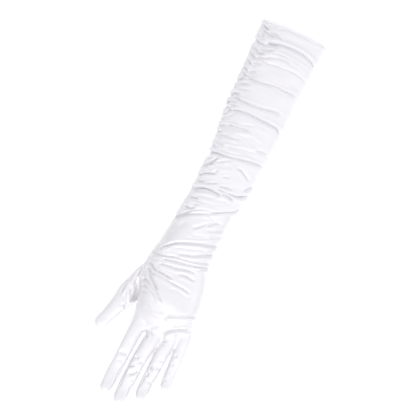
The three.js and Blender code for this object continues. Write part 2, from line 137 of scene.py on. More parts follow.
# Folds of the sleeve: where the valley runs, its depth and half width, and which side of it
# hangs over (1 the left of its run, which is the cuff side of one that runs to the right, -1 the
# right, 0 neither)
SLEEVE_FOLDS = [
    ([(-6.5, 200.4), (2, 201.8), (7.7, 203.4), (22.9, 204.4), (36, 203.6), (44.8, 201.6), (52.7, 198.2),
      (55.6, 193.3)], 3.8, 1.2, 1),
    ([(-7, 199.6), (-3, 200.2), (3, 201.2), (9, 202.6)], 3, 2, 1),
    ([(-7.5, 180), (3.6, 178.6), (15.8, 179.9), (38.5, 180.2), (53.6, 176.2)], 1.4, 1.2, -1),
    ([(-11, 156), (-6, 156.2), (1.1, 156.5), (9, 157), (16, 158.2), (26, 158.8), (36, 158.6),
      (48.4, 158.7)], 3.3, 1.1, 1),
    ([(18, 156), (31.7, 155), (44, 155.8)], 0.9, 1.1, 1),
    ([(17, 162.8), (31.7, 162.6), (42, 162)], 0.8, 1.1, 1),
    ([(-17, 129), (-14, 131.4), (-10, 130.9), (-5, 130.2), (3, 130), (17.6, 130.9), (33.4, 133.5),
      (42.1, 132.8)], 3.2, 1.1, 1),
    ([(22, 131.4), (28, 132.2), (36, 132.4), (42, 131.4)], 1.3, 3.4, 1),
    ([(-12.5, 117.2), (-6, 118.8), (1.1, 119.8), (10, 119.7), (17.6, 119.1), (40.4, 118.3), (47.3, 115.7),
      (51.2, 111)], 4.2, 1.2, 1),
    ([(-11, 99.6), (-6, 101.4), (0, 102.1), (10, 103), (17, 103.2)], 3, 1.1, 1),
    ([(-14.5, 87.6), (-8, 88.5), (0, 88.6), (5, 89.5), (12, 90.6)], 2, 1, 1),
    ([(31, 87.8), (38, 88.5), (45, 89.9)], 2, 1.5, 1),
    ([(46.5, 89), (48.6, 86.4), (49.6, 83.8)], 2.5, 0.9, 1),
    ([(-16, 78.3), (-8, 79), (-3, 78)], 2.2, 1.5, 1),
    ([(-2, 78.8), (8, 79.8), (16, 81.5), (33, 84)], 1.4, 1.2, 1),
    ([(-19.5, 67), (-14, 66.3), (-10, 67.5), (0, 67.7), (10, 68.8), (20, 70.8), (30, 72.3), (40, 73.5),
      (47, 74.2)], 3.7, 1, 1),
    ([(-17, 59.5), (-14.5, 64), (-10, 67.4)], 5, 1, -1),
    ([(-16.4, 46.6), (-12, 51.5), (-8, 57.5), (-4, 64)], 4.4, 1.4, 0),
    ([(-14, 56), (-11.5, 60), (-8.5, 65)], 1.5, 0.8, 0),
    ([(-4, 57.4), (3, 62), (9, 65), (14, 65.5)], 1.5, 0.9, 0),
    ([(20, 61), (25.6, 59.6), (31, 56.8), (38, 52.4)], 2.2, 0.9, -1),
    ([(6, 59), (14, 57.4)], 1.1, 1.6, 0),
    ([(36.6, 40.6), (40.4, 43.6), (43.8, 47.6), (46, 52.4)], 3.2, 1, -1),
    ([(8, 45.2), (18, 49)], 2, 0.9, 0),
    ([(-2, 47), (2, 50.6)], 1.8, 1.2, 0),
    ([(-17.6, 36.4), (-12, 41), (-8, 43), (2, 46)], 3.3, 1, 0),
    ([(-17.4, 31), (-13, 31.5), (-6, 33.4)], 2.9, 1.2, 0),
    ([(-8, 30.8), (0, 34), (7, 37.5)], 1.8, 0.8, 0),
    ([(9, 34.6), (16, 36.5), (26, 37.7)], 2.2, 1, 0),
    ([(8, 31.2), (20, 31.4), (30, 31.9), (36, 33), (40, 35), (45, 40.5)], 3.5, 0.9, 1),
    ([(34, 32.4), (40, 35), (45.4, 41)], 2.8, 1.2, -1),
    ([(-17.6, 20), (-13, 24), (-6, 26.5), (2, 27.3), (10, 26.8), (16, 25.6)], 5.1, 1.5, 1),
    ([(15.5, 28.4), (22, 28.5), (32, 26.1)], 4.4, 1.3, 1),
    ([(-17.4, 10.6), (-12, 12.5), (-5, 13.4)], 2.9, 1.1, 0),
    ([(-11, 9.8), (-3, 11.2), (3, 11.4)], 1.1, 0.8, 0),
    ([(-19, 2), (-15, 0.4), (-10, 0.8), (-4, 5)], 3.1, 1.5, 0),
    ([(-12, 5), (-6, 6.6), (0, 7.4)], 1.5, 0.8, 0),
    ([(14, 19.6), (22, 22.4), (30, 19.4)], 1.1, 1.4, 0),
    ([(-1, 20.6), (5, 19.4), (12, 22)], 1, 1.1, 0),
    # Puckers of the gathered seam, on both sides of it
    ([(-18.6, 217.8), (-16.4, 216.6), (-12, 214.4), (-8, 212.6)], 4, 1.1, 1),
    ([(-9, 211.4), (-3, 212), (1, 211.5), (5, 210), (10, 208.6)], 2.5, 0.9, 1),
    ([(-17, 211.4), (-12, 210), (-8.4, 209.2), (-4, 209), (1.5, 208.4)], 2.5, 1, 1),
    ([(-16, 208.6), (-12.5, 205), (-9.8, 202)], 2.8, 1.2, 1),
    ([(-13, 218.2), (-8, 217)], 1.8, 1, 1),
    ([(-9, 218.6), (-2, 218.9), (3, 219.5), (9, 220.2)], 1.6, 1, 1),
    ([(-19, 201.4), (-17, 198), (-12, 196.8), (-8, 196.5), (-2.5, 197.8)], 3.5, 1.5, 1),
    ([(-11.5, 189.6), (-5, 191), (0, 193), (5.5, 195.6)], 2.5, 1.2, 1),
    ([(-18.4, 190.6), (-14.5, 188.5), (-11, 186.3), (-7, 186.4), (-2, 187.7)], 3.2, 1.2, 1),
    ([(-12, 192.6), (-5, 194.4), (2, 198)], 1, 1, 1),
    ([(-18.6, 184.6), (-15, 181), (-12.5, 179.8), (-9.5, 180.2)], 3.5, 1.4, 1),
    ([(-11, 181.3), (-4, 182), (0, 183.5), (6, 186.4), (14, 188.8), (27, 189.6)], 2.1, 1.1, 1),
    ([(-13, 176.4), (-10, 178.4), (-6, 180.6)], 1.9, 1, 1),
    ([(-12, 173.8), (-7, 175.2), (0, 176)], 1.8, 1, 1),
    ([(4, 190.2), (12, 193), (26, 193.8)], 1, 1, 1),
    ([(6, 183), (16, 183.9), (28, 183.8)], 0.9, 1, 1),
    ([(-18.8, 176.4), (-15, 172.6), (-10, 170.6)], 3.8, 1.3, 1),
    ([(-12, 169), (-9, 170.5), (-5, 172.4)], 1.8, 1, 1),
    ([(-18.6, 167.8), (-14.5, 163.6), (-11.5, 161.6)], 3.5, 1.3, 1),
    ([(-13, 161.4), (-8, 164.8), (-2, 166.2)], 2, 1.1, 1),
    ([(-14, 157.4), (-8, 159), (-1, 159.4)], 2, 1, 1),
    ([(-18, 160.4), (-14.5, 158.6), (-12.4, 156)], 2.2, 1.2, 1),
    ([(-20.6, 147.6), (-17, 152), (-12, 155)], 3.5, 1.2, 1),
    ([(-16, 145.8), (-10, 149), (-3, 151.2)], 1.8, 1, 1),
    ([(-20.4, 138.6), (-18.3, 143.4), (-15, 145)], 2.5, 1.1, 1),
    ([(-14, 141.4), (-7, 143), (-1, 144.2)], 1.5, 1.1, 1),
    ([(-20.8, 129), (-18.5, 133.5), (-15.5, 136.2), (-12, 136.2), (-8.6, 134.6)], 3.5, 1.2, 1),
    ([(-16, 134.6), (-13, 133.8), (-8, 133.2)], 1.6, 0.9, 1),
    ([(-18, 127), (-14, 126.6), (-9, 125.8)], 2.2, 0.9, 1),
    ([(-20.4, 123.4), (-18.5, 124.2), (-16.4, 125)], 4.2, 1.2, 1),
    ([(-17.4, 122.6), (-12, 122.5), (-6, 123.4)], 2.2, 0.9, 1),
    ([(-20.4, 121), (-18.8, 118.4), (-15, 119.4), (-11.4, 121)], 3.2, 0.9, 1),
    ([(-17.4, 115), (-14.6, 116.4), (-11.6, 118)], 3.8, 1.4, 1),
    ([(-19, 109.4), (-16.4, 111.4), (-13.4, 114)], 2.5, 1.1, 1),
    ([(-16, 107.4), (-11, 111), (-6, 114.6)], 1.1, 1, 1),
    ([(-12, 104.2), (-3, 105.5), (6, 106.4), (12, 108.6), (20, 110.4)], 1.5, 1, 1),
    ([(-18.6, 101), (-17.2, 104), (-15, 107)], 2.5, 1.3, 1),
    ([(-17.4, 94), (-15.4, 97.4), (-11, 100)], 2.2, 1.1, 1),
    ([(-17.4, 88.4), (-15, 90.2), (-11, 91.6)], 2.8, 1.2, 1),
    ([(-17, 83), (-14, 85.4), (-8, 85.8)], 1.2, 1.2, 1),
    ([(-17, 72), (-14, 74.4), (-10, 72)], 2.2, 1.2, 1),
    ([(2, 94), (14, 95.6), (26, 99)], 1, 1.2, 1),
    ([(-8, 84.4), (4, 84), (14, 86)], 1, 1, 1),
    ([(-6, 72.4), (6, 73.4), (20, 76)], 1, 1.2, 1),
]

# Pull lines of the hand, each row as for a fold of the sleeve
HAND_FOLDS = [
    ([(-21.6, -18.5), (-17.6, -12.5), (-9.4, -6.6), (11.1, 2.6), (22.6, 8.6), (28.9, 11.9), (41.7, 18.6)],
     1.8, 1, -1),
    ([(-21.4, -19.4), (-18.6, -15.4), (-14, -10.6), (-8, -6.8)], 2.1, 1.6, -1),
    ([(-25.6, -50), (-21, -38), (-14, -25), (-6, -13)], 1, 5, -1),
    ([(8, 0.6), (16, 0), (22, -3.4)], 0.7, 0.8, -1),
    ([(15, -11.8), (20, -6.5), (30, -1.2)], 2.2, 1, -1),
    ([(0.4, -19), (6.4, -15.4), (11.4, -10.6), (14.8, -7)], 1.5, 1, -1),
    ([(17, -15.6), (20, -14.4), (25, -13), (35, -8.8)], 1.6, 0.8, -1),
    ([(22, -21.6), (29, -18), (37, -15.4)], 1.1, 1, -1),
    ([(-1, -31.4), (10, -27.5), (22, -22.5), (33, -18.2)], 0.8, 0.7, -1),
    ([(4, -26.8), (12, -23.6), (20, -21)], 0.7, 0.8, -1),
    ([(-23, -53), (-17, -48), (-10, -42), (0, -37.5), (10, -34), (20, -31), (30, -28.8),
      (36.5, -26.8)], 2.7, 1, -1),
    ([(-12, -47.6), (0, -43), (12, -39.6), (26, -35)], 0.7, 0.7, -1),
    ([(-2, -51.4), (8, -48.5), (16, -46), (26, -41.5), (38, -36.4)], 2.4, 1, -1),
    ([(-29, -61.2), (-20, -60), (-12, -58), (-4, -55.5), (8, -54), (18, -52.5), (28, -50), (37, -46.6)],
     1.9, 0.8, -1),
    ([(-16, -62.7), (-5, -61), (5, -59.5), (15, -57.5), (25, -55.5), (37, -51.4)], 2.6, 0.9, -1),
    ([(16, -61), (26, -59), (30, -57), (37, -53.6)], 1.4, 0.7, -1),
    ([(-17, -68.6), (-8, -67.5), (2, -66.8), (10, -65.2), (18, -63.8), (25, -62.6)], 2.4, 0.8, -1),
    ([(7, -71.8), (14, -70), (20, -70.2), (28, -71.2)], 2, 0.9, -1),
    ([(-24, -66.6), (-12, -65), (0, -64)], 0.8, 0.6, -1),
    ([(-20, -72), (-16, -73.5), (-11, -74)], 1, 0.6, -1),
    ([(-29.5, -71), (-25, -73.5), (-20, -76.5), (-14, -77.3), (-6, -78), (5, -79.2)], 3.3, 0.9, -1),
    ([(-21, -80.3), (-10, -81), (0, -82), (10, -83), (18, -83.6), (28, -85.8)], 1.9, 0.9, -1),
    ([(-28.6, -77), (-24, -81.5), (-20, -86), (-15, -90.5), (-10, -94.5), (-6.4, -96.4)], 4, 1.1, -1),
    ([(-27, -76), (-22, -79.5), (-15, -84.6)], 1.6, 0.7, -1),
    ([(-28, -92), (-22, -91.5), (-18, -93), (-13, -95.8), (-8, -99), (-3, -103), (3, -107)], 2.2, 0.8, -1),
    ([(-25, -97), (-18, -98), (-12, -101.5), (-5, -105.4)], 1.6, 0.8, -1),
    ([(-23, -103), (-15, -104.4)], 0.8, 0.9, -1),
    ([(4, -92), (12, -88), (20, -89.6), (32, -92)], 0.5, 1.1, -1),
    ([(12, -119.4), (18, -117.5), (28, -113.5), (36, -110), (45, -106)], 2.2, 1.1, -1),
    ([(-13, -119.6), (-5, -119), (3, -118), (11, -117.8)], 0.7, 1.6, -1),
    ([(18, -140), (20.6, -137), (24, -133.4), (31, -129.5), (38, -126.5), (46, -123.6)], 3.4, 1, -1),
    ([(24, -127.4), (29, -125), (34, -121.5), (43.4, -117.4)], 1.6, 1.2, -1),
    ([(28, -131), (36, -127.6), (45, -124.6)], 1.5, 3.6, 1),
    ([(32, -134.8), (36, -133)], 0.7, 1, -1),
    ([(1, -139), (5, -136), (12, -132)], 0.8, 1.3, 0),
    # The seam at the thumb's root and the pocket beside it
    ([(-32.6, -66), (-33, -76), (-32.8, -86), (-31.3, -94), (-28.8, -102)], 3.4, 1.1, 1),
    ([(-34.6, -95), (-32, -101), (-29.8, -106)], 2, 0.9, -1),
    ([(-35.8, -104), (-33.6, -109.6), (-31, -115.4)], 3, 1, -1),
    ([(-38.4, -110), (-36.4, -117.6), (-32, -122.4), (-28.6, -125)], 1.6, 0.8, -1),
    ([(-40, -114), (-38, -119.6), (-34, -124.4)], 0.9, 0.8, -1),
    ([(-34, -125.2), (-30.2, -129.4)], 3.4, 1.3, -1),
    ([(-41.2, -98), (-42, -108), (-41.6, -118)], 2.2, 1, 1),
]

# Pocket beside the thumb: y, x of the hand's edge and width
POCKET = np.array([(-74, -30.6, 1.5), (-87.5, -28.6, 3), (-98, -26.4, 4.5), (-106, -24.4, 6),
                   (-114, -23.2, 7), (-122, -23.6, 7), (-130, -25, 5)])
POCKET_SUNK = 0.85  # share of the height over its bottom that is lost in it
POCKET_BOTTOM = 2.5
LAID_FLAT = 0.4  # cloth that comes nearer to the floor than this lies on it

# Creases of the fingers and thumb, each row as for a fold of the sleeve
FINGER_FOLDS = [
    # The empty tips sink a little
    ([(-21.5, -211), (-16, -210), (-10.5, -210)], 0.7, 5, -1),
    ([(-3, -216), (3, -215.6), (9, -216)], 0.6, 5, -1),
    ([(18.5, -206.4), (23, -206), (28, -206)], 0.7, 4.5, -1),
    ([(-55, -150), (-48, -148), (-42, -144)], 0.4, 4.5, -1),
    ([(-19, -174.6), (-13, -176), (-7.6, -174.4)], 2.2, 1.9, -1),
    ([(-16, -183.6), (-12.4, -184.6), (-9.4, -186.4)], 1.6, 1.3, -1),
    ([(-1, -174.4), (2, -174), (5.6, -175)], 2.1, 1.3, -1),
    ([(5.6, -179.4), (8.4, -177.4), (12, -175.6)], 2.2, 1.3, -1),
    ([(-3, -186.6), (0.4, -185), (5, -183.4)], 1.9, 1.3, -1),
    ([(0.6, -195.6), (6, -191), (11.6, -186)], 2.6, 1.9, -1),
    ([(5.6, -200.6), (7.6, -198.4), (9.6, -195.2)], 1.2, 1.1, -1),
    ([(18.4, -175.4), (20.6, -178.6), (23.6, -182)], 2.4, 1.4, -1),
    ([(25.4, -176.8), (28.6, -175.4), (32, -174.2)], 2, 1.4, -1),
    ([(26.6, -168.4), (29, -166.4), (31.6, -164.6)], 1.4, 1.4, -1),
    ([(18, -185), (21.6, -189.4)], 1.7, 1.3, -1),
    ([(23.4, -192), (27.6, -195.4)], 1.6, 1.5, -1),
    ([(38.4, -155.8), (41, -155.4), (44, -154.6)], 1.5, 1.1, -1),
    ([(38.8, -166), (41, -165.8), (43.2, -166.2)], 1.1, 1.1, -1),
    ([(39.4, -175), (42.2, -175)], 0.9, 1.0, -1),
    ([(39.8, -184.4), (42.4, -184.4)], 0.8, 1.0, -1),
    ([(-3, -146), (1.6, -143.2), (5, -143.4), (9.6, -145.4)], 1.8, 0.9, -1),
    ([(-2, -150), (1.4, -148.6), (4, -150)], 1.8, 1.2, -1),
    ([(17.6, -149.6), (20.4, -149), (24, -151.4)], 1.5, 1.3, -1),
    ([(18.6, -147), (22, -145.6), (27, -144)], 1.4, 0.9, -1),
]

# Seams of the hand
SIDE_SEAM = np.array([(40, 10.5), (-100, 10.5), (-128, 5.5), (-240, 5.5)])  # y, z
THUMB_SEAM_OVER = np.array([(-66, -31.4), (-72, -30.6), (-87.5, -28.4), (-101.8, -25), (-111.5, -22.4),
                            (-119, -22.4), (-124, -24.6), (-240, -24.6)])  # y, x on the upper side
THUMB_SEAM_UNDER = np.array([(-62, -31), (-68, -20), (-82, -9), (-96, -6), (-110, -9), (-120, -18),
                             (-124, -24.6), (-240, -24.6)])  # y, x on the lower side
THUMB_SEAM_TURN = (6, 13)  # heights between which the lower line passes into the upper one
FOURCHETTE_HALF_WIDTH = 3.0
FOURCHETTE_SHORT = 5.0  # on each finger a strip ends this far before the last station
FOURCHETTE_ABOVE_WEB = 7.0  # and narrows to nothing this far up the hand from its web
# The fingers on both sides of each web, and its y
WEBS = [("index", "middle", -145.8), ("middle", "ring", -139.2), ("ring", "little", -131.5)]
UNDER_SLEEVE = 3.0  # the hand's cloth reaches this far into the sleeve
UNDER_SLEEVE_SINK = 1.6  # and lies this much lower there
EDGE_DIP = 0.32  # the edge of a piece dips this far at a seam
BESIDE_EDGE_DIP = 0.14  # and the cloth next to it this far
EDGE_BACK = 0.06  # the edge draws back this far from the seam
HAND_PIECES = ["back_panel", "palm_panel", "thumb", "fourchette_index_middle", "fourchette_middle_ring",
               "fourchette_ring_little"]

# Sections of the arm, the hand and the fingers
ARM_POWERS = (0.86, 0.92)  # across and up; lower powers give a section fuller corners
FINGER_POWERS = (0.7, 0.72)
UNDERSIDE = 1.35  # the lower half would be this many times as deep if the floor did not flatten it
KNUCKLE_SLANT = 5.5  # on the far side the heights of the hand lie this much nearer the fingers
KNUCKLE_BANDS = ((134, 16), (111, 10))  # slanted bands that are smoothed: their -y and half width
HAND_END_RADIUS = 5.0  # the hand closes towards the webs over this length
TIP_SHARE = 0.56  # radius of a fingertip as a share of its width

# How a fold is formed
FOLD_STEPS = 8  # straight pieces between two points of its run
FOLD_START = (3.5, 0.35)  # it deepens over this length, or this share of its run where that is less
FOLD_END = (5.0, 0.45)  # and fades out over this one
VALLEY_POWER = 1.35
LEAN = 0.45  # how much steeper the valley is on the side that hangs over
LEANING_PUFF = 0.5  # and how much higher the puff is there
SLEEVE_PUFFINESS = 0.12  # height of the puffs beside a valley, as a share of its depth
HAND_PUFFINESS = 0.2
FINGER_PUFFINESS = 0.1

# Puckers along the gathered seam
PUCKER_PITCH = 5.1  # from one to the next
PUCKER_HEIGHT = 1.2
PUCKER_RISE = 0.34  # they rise this steeply from the seam towards the far side
PUCKER_BEND = 0.010  # and bend level again
PUCKER_BENT = 24  # this far from the seam they bend no more
PUCKER_RISE_OUT = 0.75  # they rise this steeply towards the thumb side
PUCKER_REACH = 7.5  # they fade over this length towards the far side
PUCKER_REACH_OUT = 14.0  # and over this one towards the thumb side
SEAM_FROM_EDGE = 7.6  # near the cuff the seam shows on top, this far in from the edge
SEAM_TURNS_UNDER = (112, 140)  # between these y it runs out to the edge and stays there

# Wrinkles: their number across half the arm, their number between two flow lines, the place in
# the noise where their pattern starts, and its seed
FINE_WRINKLES = (2.6, 3.1, 7, 11)
FINER_WRINKLES = (4.3, 6.4, 3, 12)
BROAD_WAVES = (1.4, 1.15, 5, 13)
FINE_HEIGHT = 0.30
FINE_HEIGHT_AT_GATHERS = 0.35  # what the gathers add to it
FINER_HEIGHT = 0.22
BROAD_HEIGHT = 0.5
WRINKLES_OF_HAND = 0.45  # the stretched hand has this share of the sleeve's wrinkles
FINGER_WAVE_HEIGHT = 0.25

# Meshes: faces round and along
SLEEVE_FACES = (96, 474)
HEM_FACES = (96, 16)
HAND_FACES = (72, 90)
FINGER_FACES = (40, 60)

# The photograph's view
PHOTO_STEP = 1.1  # one pixel of its 420 px frame is this long on the glove
PHOTO_PIXELS = 420
PHOTO_MIDDLE = (11.0, 7.65)  # x and y of the glove's frame in the middle of the photograph
PHOTO_TURN = 23.6  # degrees that the arm leans to the right
SCALE_HEIGHT = 12.0  # the scale holds at this height over the floor
CAMERA_HEIGHT = 2000.0  # and the camera is this far above it


# Small helpers for numbers

def along_table(table, y, column):
    """A column of a table whose first column is y, falling from row to row."""
    return np.interp(-y, -table[:, 0], table[:, column])


def smoothstep(value, low, high):
    share = np.clip((value - low) / (high - low), 0, 1)
    return share * share * (3 - 2 * share)


def signed_power(value, power):
    return np.sign(value) * np.abs(value) ** power


def across_row(row, across):
    """A value given at the thumb side, in the middle and on the far side."""
    side = np.where(across < 0, row[0], row[2])
    return row[1] + (side - row[1]) * np.abs(across) ** 1.6


def lattice_noise(a, b, seed):
    """Smooth noise from -1 to 1 over a lattice of step one."""
    size = 64
    values = np.random.default_rng(seed).uniform(-1, 1, (size, size))
    low_a, low_b = np.floor(a).astype(int), np.floor(b).astype(int)
    share_a, share_b = a - low_a, b - low_b
    share_a = share_a * share_a * (3 - 2 * share_a)
    share_b = share_b * share_b * (3 - 2 * share_b)

    def corner(i, j):
        return values[(low_a + i) % size, (low_b + j) % size]

    low = corner(0, 0) * (1 - share_a) + corner(1, 0) * share_a
    high = corner(0, 1) * (1 - share_a) + corner(1, 1) * share_a
    return low * (1 - share_b) + high * share_b


def curve_through(points, steps):
    """A smooth line through points, with some steps between each pair."""
    points = np.array(points, float)
    padded = np.vstack([2 * points[0] - points[1], points, 2 * points[-1] - points[-2]])
    out = []
    for i in range(len(points) - 1):
        p0, p1, p2, p3 = padded[i:i + 4]
        for t in np.linspace(0, 1, steps, endpoint=False):
            out.append(0.5 * (2 * p1 + (p2 - p0) * t + (2 * p0 - 5 * p1 + 4 * p2 - p3) * t * t
                              + (3 * p1 - p0 - 3 * p2 + p3) * t ** 3))
    return np.array(out + [points[-1]])


def beside_line(places, line):
    """For each place its distance from a line, its side (1 left, -1 right) and how far along the
    line its nearest point lies; then the length of the line."""
    start, run = line[:-1], line[1:] - line[:-1]
    length = np.linalg.norm(run, axis=1)
    begin = np.concatenate([[0], np.cumsum(length)[:-1]])
    away = np.full(len(places), 1e9)
    side = np.zeros(len(places))
    along = np.zeros(len(places))
    for k in range(len(start)):
        off = places - start[k]
        share = np.clip((off @ run[k]) / max(length[k] ** 2, 1e-9), 0, 1)
        gap = np.linalg.norm(off - share[:, None] * run[k], axis=1)
        closer = gap < away
        away[closer] = gap[closer]
        cross = run[k, 0] * off[:, 1] - run[k, 1] * off[:, 0]
        side[closer] = np.sign(cross[closer])
        along[closer] = begin[k] + share[closer] * length[k]
    return away, side, along, begin[-1] + length[-1]


# Cloth fields: how far the cloth stands out or in at a place seen from above, in millimetres

def fold_field(x, y, folds, puffiness):
    """Sum of the folds' valleys and of the puffs beside them."""
    total = np.zeros_like(x)
    for path, depth, half_width, over in folds:
        line = curve_through(path, FOLD_STEPS)
        reach = half_width * 4 + 5
        near = ((x > line[:, 0].min() - reach) & (x < line[:, 0].max() + reach)
                & (y > line[:, 1].min() - reach) & (y < line[:, 1].max() + reach))
        index = np.flatnonzero(near)
        if not len(index):
            continue
        away, side, along, whole = beside_line(np.stack([x[index], y[index]], 1), line)
        start, end = [min(most, share * whole) for most, share in (FOLD_START, FOLD_END)]
        taper = smoothstep(along, -0.5, start) * smoothstep(whole - along, -0.5, end)
        steep = 1 + LEAN * over * side
        valley = -np.exp(-((away / half_width * steep) ** VALLEY_POWER))
        puff_place, puff_width = half_width * 1.5 + 1.5, half_width * 0.8 + 1.1
        puff = np.exp(-((away - puff_place) / puff_width) ** 2)
        puff = puffiness * (1 + LEANING_PUFF * over * side) * puff
        total[index] += depth * taper * (valley + puff)
    return total


def pocket_share(x, y):
    """How far the cloth sinks towards the floor in the pocket beside the thumb: steep at the
    hand's edge, gentle towards the thumb."""
    width = along_table(POCKET, y, 2)
    off = along_table(POCKET, y, 1) - x
    inside = smoothstep(off, -0.4, 1.2) * (1 - smoothstep(off, 0.45 * width, width + 1.5))
    along = smoothstep(-y, 84, 110) * (1 - smoothstep(-y - 0.5 * off, 114, 119))
    return inside * along


def arm_edges(y):
    """x of the thumb side and of the far side."""
    return along_table(BODY_OUTLINE, y, 1), along_table(BODY_OUTLINE, y, 2)


def flow_place(x, y):
    """(across, along) where along counts the flow lines, so wrinkles can follow them."""
    thumb_edge, far_edge = arm_edges(y)
    across = np.clip(2 * (x - thumb_edge) / (far_edge - thumb_edge) - 1, -1, 1)
    count = np.zeros_like(x)
    for upper, lower in zip(FLOW[:-1], FLOW[1:]):
        high, low = across_row(upper, across), across_row(lower, across)
        count += np.clip((high - y) / np.maximum(high - low, 0.1), 0, 1)
    return across, count


def gather_field(x, y):
    """Short puckers on both sides of the gathered seam, all the way down the sleeve."""
    seam = arm_edges(y)[0] + SEAM_FROM_EDGE * smoothstep(y, *SEAM_TURNS_UNDER)
    off = x - seam
    lift_far = PUCKER_RISE * off - PUCKER_BEND * np.minimum(off, PUCKER_BENT) ** 2
    lift = np.where(off > 0, lift_far, -PUCKER_RISE_OUT * off)
    level = y - lift
    # Their spacing wanders a little along the seam
    phase = level / PUCKER_PITCH + 0.30 * np.sin(level / 11.3) + 0.22 * np.sin(level / 4.3 + 1.0)
    strength = 0.6 + 0.6 * lattice_noise(phase, np.zeros_like(phase) + 3.5, 5)
    ridge = np.abs(np.sin(math.pi * phase)) ** 0.7 - 0.62
    fade = np.where(off > 0, np.exp(-off / PUCKER_REACH), np.exp(off / PUCKER_REACH_OUT))
    on_sleeve = smoothstep(y, -22, -4)
    return PUCKER_HEIGHT * ridge * strength * fade * on_sleeve


def wrinkles(across, count, kind):
    """Heights from -1 to 1 of one kind of wrinkles."""
    number_across, number_along, start, seed = kind
    return lattice_noise(across * number_across + start, count * number_along, seed)


def wrinkle_field(x, y):
    """Faint wrinkles that follow the flow of the cloth, stronger near the gathered side."""
    across, count = flow_place(x, y)
    near_gather = smoothstep(-across, -0.9, 0.9)
    fine_height = FINE_HEIGHT + FINE_HEIGHT_AT_GATHERS * near_gather
    fine = fine_height * wrinkles(across, count, FINE_WRINKLES)
    finer = FINER_HEIGHT * near_gather * wrinkles(across, count, FINER_WRINKLES)
    amount = WRINKLES_OF_HAND + (1 - WRINKLES_OF_HAND) * smoothstep(y, -30, 0)
    return (fine + finer) * amount + BROAD_HEIGHT * wrinkles(across, count, BROAD_WAVES)


# Base forms

def soft_section(angle, height, side_share, powers):
    """A round section that lies on the floor: across from -1 to 1, and height over the floor."""
    side = height * side_share
    across = signed_power(np.cos(angle), powers[0])
    rise = signed_power(np.sin(angle), powers[1])
    lower = np.maximum(0, side + UNDERSIDE * side * rise)
    return across, np.where(rise >= 0, side + (height - side) * rise, lower)


def arm_across(angle):
    """Place across the arm, from -1 at the thumb side to 1 on the far side."""
    return signed_power(np.cos(angle), ARM_POWERS[0])


def arm_place(angle, y):
    """A point of the plain arm, before its folds."""
    thumb_edge, far_edge = arm_edges(y)
    slant = KNUCKLE_SLANT * arm_across(angle) * smoothstep(-y, 60, 90)
    height = along_table(BODY_OUTLINE, y + slant, 3)
    across, z = soft_section(angle, height, SIDE_SHARE, ARM_POWERS)
    x = (thumb_edge + far_edge) / 2 + across * (far_edge - thumb_edge) / 2
    return np.stack([x, y, z], -1)


def arm_folded(angle, y, out):
    """A point of the ruched arm, standing out of the cloth's surface by a distance."""
    step = 0.02  # radians
    place = arm_place(angle, y)
    around = arm_place(angle + step, y) - arm_place(angle - step, y)
    down = arm_place(angle, y - 0.5) - arm_place(angle, y + 0.5)
    normal = np.cross(around, down)
    normal /= np.maximum(np.linalg.norm(normal, axis=-1, keepdims=True), 1e-9)
    x, y = place[..., 0], place[..., 1]
    depth = fold_field(x, y, SLEEVE_FOLDS, SLEEVE_PUFFINESS) + gather_field(x, y) + wrinkle_field(x, y)
    # The relief fades out round the sides, because the lower side lies smooth on the floor
    top = smoothstep(np.sin(angle), -0.55, 0.02)
    place = place + normal * (depth * top + out)[..., None]
    place[..., 2] = np.maximum(place[..., 2], 0)
    return place


def sheet_angle(share):
    """Angle round the arm for a share of the sheet's width: over the top, then back below."""
    top_share = 0.78
    return np.where(share < top_share, math.pi * (1 - share / top_share),
                    -math.pi * (share - top_share) / (1 - top_share))


# Meshes

def piece_of(name, mesh, material):
    """An object of one material with smooth faces."""
    obj = bpy.data.objects.new(name, mesh)
    bpy.context.scene.collection.objects.link(obj)
    mesh.materials.clear()
    mesh.materials.append(material)
    mesh.polygons.foreach_set("use_smooth", np.ones(len(mesh.polygons), dtype=bool))
    return obj


def places_of(mesh):
    places = np.empty(len(mesh.vertices) * 3)
    mesh.vertices.foreach_get("co", places)
    return places.reshape(-1, 3)


def set_places(mesh, places):
    moved = places.copy()
    moved[:, 1] += ROW_TO_FRAME_Y
    mesh.vertices.foreach_set("co", (moved * MM).ravel())
    mesh.update()


def normals_of(mesh):
    normals = np.empty(len(mesh.vertices) * 3, dtype=np.float32)
    mesh.vertex_normals.foreach_get("vector", normals)
    return normals.reshape(-1, 3).astype(float)


def edges_of(mesh):
    edges = np.empty(len(mesh.edges) * 2, dtype=np.int32)
    mesh.edges.foreach_get("vertices", edges)
    return edges.reshape(-1, 2)


def rolled_sheet(name, faces, place, flat=(1, 1), closed=True):
    """A flat grid of cloth whose points are moved to place(across share, along share). Edges that
    meet are sewn together. Its UV map keeps the flat cloth's size. A closed one is a whole shell
    without open ends."""
    bm = bmesh.new()
    bmesh.ops.create_grid(bm, x_segments=faces[0], y_segments=faces[1], size=0.5)
    mesh = bpy.data.meshes.new(name)
    bm.to_mesh(mesh)
    bm.free()
    grid = places_of(mesh)[:, :2]
    share = (grid - grid.min(0)) / np.ptp(grid, axis=0)
    loops = np.empty(len(mesh.loops), dtype=np.int32)
    mesh.loops.foreach_get("vertex_index", loops)
    layer = mesh.uv_layers.new(name="cloth")
    layer.data.foreach_set("uv", (share[loops] * np.array(flat) * MM).ravel())
    set_places(mesh, place(share[:, 0], share[:, 1]))
    bm = bmesh.new()
    bm.from_mesh(mesh)
    bmesh.ops.remove_doubles(bm, verts=bm.verts, dist=1e-6)
    if closed:
        bmesh.ops.recalc_face_normals(bm, faces=bm.faces)
    else:
        bmesh.ops.reverse_faces(bm, faces=bm.faces)
    bm.to_mesh(mesh)
    bm.free()
    return mesh


